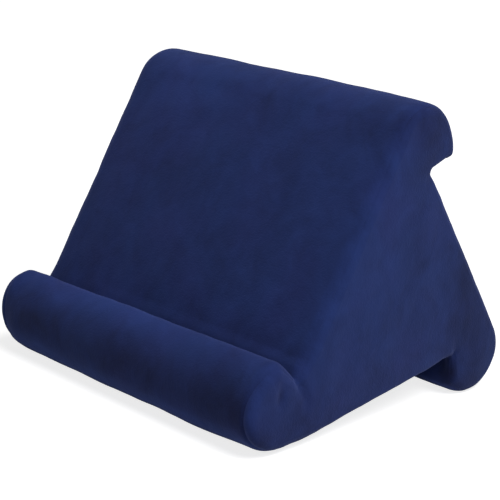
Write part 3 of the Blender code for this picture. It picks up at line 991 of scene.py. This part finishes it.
def build_coil(name, node, side):
    """One coil. Seen from its end, each turn is a flat, round-cornered loop."""
    turns = int(2.0 * CHAIN_HALF_LENGTH / COIL_PITCH) - 1
    share = np.arange(turns * COIL_STEPS + 1) / COIL_STEPS
    middle = (COIL_HEAD + COIL_TAIL) / 2.0
    reach = (COIL_TAIL - COIL_HEAD) / 2.0 - FILAMENT
    depth = (COIL_LOW + COIL_HIGH) / 2.0
    rise = (COIL_HIGH - COIL_LOW) / 2.0 - FILAMENT
    start = -CHAIN_HALF_LENGTH + FILAMENT + COIL_PITCH * (0.5 if side > 0.0 else 0.0)
    x = start + COIL_PITCH * share
    loop = np.column_stack([squared(np.cos(2.0 * math.pi * share)),
                            squared(np.sin(2.0 * math.pi * share))])
    path = np.column_stack([x, side * (middle - reach * loop[:, 0]), depth - rise * loop[:, 1]])
    outward = np.column_stack([0.0 * x, -side * loop[:, 0], -loop[:, 1]])
    coil = mesh_piece(name, *strand(path, outward, FILAMENT, 8), nylon, "cushion", "nylon")
    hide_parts(node)

    rows = []
    for row in SEWING_ROWS:
        along = np.arange(turns * 6 + 1) / 6.0
        over = 0.5 + 0.5 * np.cos(2.0 * math.pi * (along - 0.25))
        sunk = COIL_LOW + 0.16 * MM - 0.25 * MM * over
        beside = np.full_like(along, side * row)
        stitch = np.column_stack([start + COIL_PITCH * along, beside, sunk])
        away = np.tile((0.0, 0.0, -1.0), (len(along), 1))
        rows.append(strand(stitch, away, SEWING_RADIUS, 6))
    mesh_piece(name + "_sewing", *gathered(rows), thread, "cushion", "zip_cloth")


build_coil("front_zip_coil", "zip_coil_front", -1.0)
build_coil("rear_zip_coil", "zip_coil_rear", 1.0)


# Zip stops
# A soft metal clip squeezed over both halves of the chain at each end, so that the
# slider can't run off. Its middle is dented in by the tool.

# Nickel plate on die-cast zinc: tumbled before plating, so it shines softly, with
# faint scuffs in place of a mirror's edge.
SCUFF = 0.8 * MM


def make_nickel():
    material, tree, place = new_material("tumbled_nickel_plate")
    drawn = add_node(tree, "Mapping", {"Vector": place, "Scale": (1.0, 4.0, 0.5)})
    scuffs = add_node(tree, "TexNoise", {
        "Vector": drawn, "Scale": 1.0 / SCUFF, "Detail": 5.0, "Roughness": 0.7})
    colour = add_node(tree, "ValToRGB", {"Fac": scuffs}, ((0.0, "#a9a59c"), (1.0, "#d6d3cb")))
    gloss = add_node(tree, "MapRange", {"Value": scuffs, "To Min": 0.2, "To Max": 0.42})
    wear = add_node(tree, "Bump", {"Height": scuffs, "Strength": 0.15, "Distance": 0.05 * MM})
    shader = add_node(tree, "BsdfPrincipled", {
        "Base Color": colour, "Metallic": 1.0, "Roughness": gloss, "Normal": wear})
    add_node(tree, "OutputMaterial", {"Surface": shader})
    return material


nickel = make_nickel()


def plate(loops, low, high, rounding):
    """Points (a, b, c) and faces of a plate with rounded edges, from c low to high.

    The outer outline (a, b) runs anticlockwise and a hole's outline clockwise. All
    sizes here are in millimetres.
    """
    soft = 0.29 * rounding
    levels = ((low, rounding), (low + soft, soft), (low + rounding, 0.0),
              (high - rounding, 0.0), (high - soft, soft), (high, rounding))
    points = []
    faces = []
    rims = ([], [])
    for loop in loops:
        loop = np.array(loop)
        count = len(loop)
        ahead = np.roll(loop, -1, 0) - loop
        ahead /= np.hypot(*ahead.T)[:, None]
        inward = np.column_stack([-ahead[:, 1], ahead[:, 0]])
        last = np.roll(inward, 1, 0)
        corner = (inward + last) / (1.0 + (inward * last).sum(1))[:, None]
        first = len(points)
        for level, inset in levels:
            points += [(a, b, level) for a, b in loop + corner * inset]
        for k in range(len(levels) - 1):
            for i in range(count):
                a = first + k * count + i
                b = first + k * count + (i + 1) % count
                faces.append((a, b, b + count, a + count))
        rims[0].append(range(first, first + count))
        rims[1].append(range(first + 5 * count, first + 6 * count))
    for rim, rising in zip(rims, (False, True)):
        flat = [[Vector((*points[i][:2], 0.0)) for i in loop] for loop in rim]
        number = [i for loop in rim for i in loop]
        for triangle in geometry.tessellate_polygon(flat):
            corners = [number[i] for i in triangle]
            a, b, c = (np.array(points[i][:2]) for i in corners)
            turn = (b[0] - a[0]) * (c[1] - a[1]) - (b[1] - a[1]) * (c[0] - a[0])
            faces.append(tuple(corners if (turn > 0.0) == rising else reversed(corners)))
    return np.array(points), faces


def set_on_base(shape, order, centre):
    """A plate set on the zip. The order says which of its (a, b, c), and with which
    sign, are x, the distance along the base, and the depth."""
    points, faces = shape
    turned_points = np.column_stack([sign * points[:, axis] for axis, sign in order])
    return on_base(turned_points * MM + np.array(centre)), faces


CRISP_EDGE = 40.0
clip_half = [(2.9, 0.4), (2.9, 1.1), (2.5, 1.5), (0.9, 1.5), (0.3, 1.38)]
clip_low = [(-0.25, 0.2), (0.25, 0.2), (0.9, 0.0), (2.5, 0.0)]
clip = clip_half + [(-a, b) for a, b in reversed(clip_half)] + [(-2.5, 0.0), (-0.9, 0.0)] + clip_low
CLIP_ORDER = ((2, 1.0), (0, 1.0), (1, 1.0))
for stop_name, side in (("left", -1.0), ("right", 1.0)):
    start_x, end_x = sorted((side * stop_low.x / MM, side * stop_high.x / MM))
    shape = set_on_base(plate([clip], start_x, end_x, 0.2), CLIP_ORDER, (0.0, 0.0, 0.0))
    stop = mesh_piece("zip_clip_" + stop_name, *shape, nickel, "cushion", "nickel", CRISP_EDGE)
    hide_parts("zip_stop_" + stop_name)


# Zip slider
# Die-cast zinc, nickel plated: an outer and an inner plate joined by the divider at
# its mouth, flanges that keep the coils in, and a loop on top that holds the pull.

slider_low, slider_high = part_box("zip_slider")
SLIDER_X = (slider_low.x + slider_high.x) / 2.0


def welded(name, shapes, cuts=()):
    """Points and faces of one closed piece from shapes that run into each other."""
    blocks = [new_object(name, points / MM, faces) for points, faces in [*shapes, *cuts]]
    for k, block in enumerate(blocks[1:], 1):
        join = blocks[0].modifiers.new("join", "BOOLEAN")
        join.operation = "UNION" if k < len(shapes) else "DIFFERENCE"
        join.solver = "EXACT"
        join.object = block
    graph = bpy.context.evaluated_depsgraph_get()
    mesh = bpy.data.meshes.new_from_object(blocks[0].evaluated_get(graph))
    points = np.array([v.co[:] for v in mesh.vertices]) * MM
    faces = [tuple(p.vertices) for p in mesh.polygons]
    for block in blocks:
        bpy.data.objects.remove(block)
    return points, faces


plate_half = [(4.5, 2.9), (4.35, 3.6), (3.9, 3.95), (0.5, 4.3), (-1.5, 4.5), (-3.3, 4.5),
              (-4.2, 4.2), (-4.5, 3.4), (-4.4, 1.3), (-4.0, 0.5)]
plate_outline = plate_half + [(a, -b) for a, b in reversed(plate_half)]
inner_outline = [(0.95 * a, 0.95 * b) for a, b in plate_outline]
flange_edge = [(3.9, 3.93), (0.5, 4.28), (-1.5, 4.48), (-3.2, 4.48)]
left_flange = flange_edge + [(a, b - 0.85) for a, b in reversed(flange_edge)]
right_flange = [(a, -b) for a, b in reversed(left_flange)]
divider = [(-1.6, 0.0), (-2.6, 0.4), (-4.1, 0.35), (-4.1, -0.35), (-2.6, -0.4)]
loop_outer = [(3.4, 0.5), (3.4, 2.8), (3.2, 3.4), (2.8, 3.75), (2.2, 3.9)]
loop_inner = [(2.5, 0.5), (2.5, 2.5), (2.3, 2.85), (1.9, 3.0)]
loop_outline = loop_outer + [(-a, b) for a, b in reversed(loop_outer)]
loop_outline += [(-a, b) for a, b in loop_inner] + list(reversed(loop_inner))
FLAT_ORDER = ((0, 1.0), (1, 1.0), (2, 1.0))
LOOP_ORDER = ((0, 1.0), (2, 1.0), (1, -1.0))
slider_centre = (SLIDER_X, 0.0, 0.0)
slider_plates = (plate([plate_outline], -1.0, 0.0, 0.3), plate([left_flange], -0.6, 1.5, 0.2),
                 plate([right_flange], -0.6, 1.5, 0.2), plate([divider], -0.5, 3.2, 0.05),
                 plate([inner_outline], 2.7, 3.7, 0.3))
slider_shapes = [set_on_base(shape, FLAT_ORDER, slider_centre) for shape in slider_plates]
slider_shapes.append(set_on_base(plate([loop_outline], -0.8, 0.8, 0.22), LOOP_ORDER, slider_centre))
slider = mesh_piece("die_cast_slider", *welded("slider_block", slider_shapes), nickel,
                    "zip_slider", "nickel", CRISP_EDGE)
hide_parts("zip_slider")


# Zip pull
# A flat die-cast tab, nickel plated, with a window that hangs it on the slider's
# loop and a shallow oval on each face for the finger's grip.

PULL_AXIS = -2.0
tab_arc = [math.pi * (1.0 + k / 16.0) for k in range(17)]
tab = [(2.2, 0.25), (1.95, 0.5), (-1.95, 0.5), (-2.2, 0.25), (-2.2, -4.2)]
tab += [(3.1 * math.cos(a), -14.9 + 3.1 * math.sin(a)) for a in tab_arc] + [(2.2, -4.2)]
window = [(-0.75, -0.5), (0.75, -0.5), (1.1, -0.85), (1.1, -3.85), (0.75, -4.2), (-0.75, -4.2),
          (-1.1, -3.85), (-1.1, -0.85)]
grip_turns = [2.0 * math.pi * k / 28.0 for k in range(28)]
grip = [(1.75 * math.cos(a), -11.6 + 4.4 * math.sin(a)) for a in grip_turns]
pull_centre = (SLIDER_X, 0.0, PULL_AXIS * MM)
pull_body = set_on_base(plate([tab, window], -0.5, 0.5, 0.16), CLIP_ORDER, pull_centre)
grips = [set_on_base(plate([grip], low, low + 0.6, 0.1), CLIP_ORDER, pull_centre)
         for low in (-0.92, 0.32)]
pull = mesh_piece("die_cast_pull", *welded("pull_block", [pull_body], grips), nickel,
                  "zip_pull", "nickel", CRISP_EDGE)
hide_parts("zip_pull")


# Topstitching
# Lockstitch in polyester thread, 3 mm long, round the slot. It holds the cover's
# turned edges and the tapes together.

STITCH_PITCH = 3.4 * MM
STITCH_LENGTH = 2.9 * MM
STITCH_RADIUS = 0.24 * MM
STITCH_INSET = 2.4 * MM
STITCH_BOW = np.array([-0.35, 0.05, 0.2, 0.24, 0.2, 0.05, -0.35]) * MM
STITCH_TAPER = np.array([0.5, 0.85, 1.0, 1.0, 1.0, 0.85, 0.5])


def cover_point(x, distance):
    """A point on the cover's outer face beside the zip: how far it stands out there."""
    point = layer([base_station(distance)], [flat_column(x)], 0.0)[0]
    return -float((point[1:] - zip_middle) @ base_up)


def build_topstitching():
    half_x = SLOT_HALF_LENGTH + STITCH_INSET
    half_s = SLOT_HALF_WIDTH + STITCH_INSET
    corners = np.array([(-half_x, -half_s), (half_x, -half_s), (half_x, half_s), (-half_x, half_s)])
    within = np.linspace(-0.5, 0.5, len(STITCH_BOW)) * STITCH_LENGTH / STITCH_PITCH
    away = np.tile((0.0, 0.0, -1.0), (len(STITCH_BOW), 1))
    stitches = []
    for start, end in zip(corners, np.roll(corners, -1, axis=0)):
        span = end - start
        count = round(length_of(span) / STITCH_PITCH)
        for k in range(count):
            place = start + ((k + 0.5 + within) / count)[:, None] * span
            proud = np.array([cover_point(x, s) for x, s in place])
            path = np.column_stack([place, -proud - STITCH_BOW])
            stitches.append(strand(path, away, STITCH_RADIUS * STITCH_TAPER, 8))
    mesh_piece("slot_topstitching", *gathered(stitches), thread, "cushion", "zip_cloth")


build_topstitching()


# Studio
# A pale painted floor that keeps the shadow, a white surround, and one soft lamp.
# None of them is part of the cushion.

FLOOR_HALF = 12.0
FLOOR_DROP = 0.1 * MM
FLOOR_PAINT = "#cecece"
FLOOR_GLOW = 0.8
GLOW_RISES_FROM = 0.25
GLOW_FULL_AT = 0.9
SURROUND_LIGHT = 0.07
WHITE = "#ffffff"


def background_rays(tree):
    """1 for the rays that show the background: the camera's, and those that metal or
    glass sends on."""
    rays = add_node(tree, "LightPath", {})
    shown = add_node(tree, "Math", {
        0: rays.outputs["Is Camera Ray"], 1: rays.outputs["Is Glossy Ray"]},
        operation="MAXIMUM")
    shown = add_node(tree, "Math", {
        0: shown, 1: rays.outputs["Is Transmission Ray"]}, operation="MAXIMUM")
    return shown


# Matt painted board, lit up to white away from the cushion.
def make_floor():
    material, tree, place = new_material("studio_floor")
    away = add_node(tree, "VectorMath", {0: place}, operation="LENGTH")
    level = add_node(tree, "MapRange", {
        "Value": away.outputs["Value"], "From Min": GLOW_RISES_FROM, "From Max": GLOW_FULL_AT,
        "To Min": FLOOR_GLOW, "To Max": 1.0}, interpolation_type="SMOOTHSTEP")
    strength = add_node(tree, "Math", {0: background_rays(tree), 1: level}, operation="MULTIPLY")
    paint = add_node(tree, "BsdfDiffuse", {"Color": linear(FLOOR_PAINT)})
    glow = add_node(tree, "Emission", {"Strength": strength})
    both = add_node(tree, "AddShader", {0: paint, 1: glow})
    add_node(tree, "OutputMaterial", {"Surface": both})
    return material


def make_surround():
    world = bpy.data.worlds.new("studio_surround")
    bpy.context.scene.world = world
    world.use_nodes = True
    tree = world.node_tree
    tree.nodes.clear()
    level = add_node(tree, "MapRange", {
        "Value": background_rays(tree), "To Min": SURROUND_LIGHT, "To Max": 1.0})
    surround = add_node(tree, "Background", {"Color": linear(WHITE), "Strength": level})
    add_node(tree, "OutputWorld", {"Surface": surround})


floor_corners = [(x * FLOOR_HALF, y * FLOOR_HALF, -FLOOR_DROP)
                 for x, y in ((-1.0, -1.0), (1.0, -1.0), (1.0, 1.0), (-1.0, 1.0))]
studio_floor = new_object("studio_floor", floor_corners, [(0, 1, 2, 3)])
studio_floor.data.materials.append(make_floor())
make_surround()


# The lamp: a round softbox, above and in front of the +X end.
LAMP_PLACE = Vector((0.88, -0.14, 1.43))
LAMP_AIM = Vector((0.0, 0.0, 0.1))
LAMP_SIZE = 1.2
LAMP_POWER = 24.6

lamp_data = bpy.data.lights.new("key_softbox", "AREA")
lamp_data.shape = "DISK"
lamp_data.size = LAMP_SIZE
lamp_data.energy = LAMP_POWER
lamp = bpy.data.objects.new("key_softbox", lamp_data)
lamp.location = LAMP_PLACE
lamp.rotation_euler = (LAMP_AIM - LAMP_PLACE).to_track_quat("-Z", "Y").to_euler()
bpy.context.scene.collection.objects.link(lamp)

# Camera: where the photograph was taken from, worked out from the cushion's outline.
VIEW_TURN = math.radians(44.61)
VIEW_DROP = math.radians(14.79)
VIEW_ROLL = math.radians(3.68)
VIEW_DISTANCE = 1.2163
FOCAL_PIXELS = 1514.9
FRAME_PIXELS = 500.0
AIM = Vector((-0.01986, 0.01973, 0.09941))
SHIFT_PIXELS = (3.53, -11.80)

right = Vector((math.cos(VIEW_TURN), math.sin(VIEW_TURN), 0.0))
forward = Vector((-math.sin(VIEW_TURN) * math.cos(VIEW_DROP),
                  math.cos(VIEW_TURN) * math.cos(VIEW_DROP), -math.sin(VIEW_DROP)))
upright = right.cross(forward)
tilted_right = right * math.cos(VIEW_ROLL) + upright * math.sin(VIEW_ROLL)
tilted_up = upright * math.cos(VIEW_ROLL) - right * math.sin(VIEW_ROLL)
camera_data = bpy.data.cameras.new("photo_camera")
camera_data.sensor_fit = "HORIZONTAL"
camera_data.sensor_width = 36.0
camera_data.lens = FOCAL_PIXELS / FRAME_PIXELS * 36.0
camera_data.shift_x = -SHIFT_PIXELS[0] / FRAME_PIXELS
camera_data.shift_y = SHIFT_PIXELS[1] / FRAME_PIXELS
camera = bpy.data.objects.new("photo_camera", camera_data)
axes = Matrix((tilted_right, tilted_up, -forward)).transposed().to_4x4()
camera.matrix_world = Matrix.Translation(AIM - forward * VIEW_DISTANCE) @ axes
bpy.context.scene.collection.objects.link(camera)
bpy.context.scene.camera = camera
bpy.context.scene.view_settings.view_transform = "Standard"
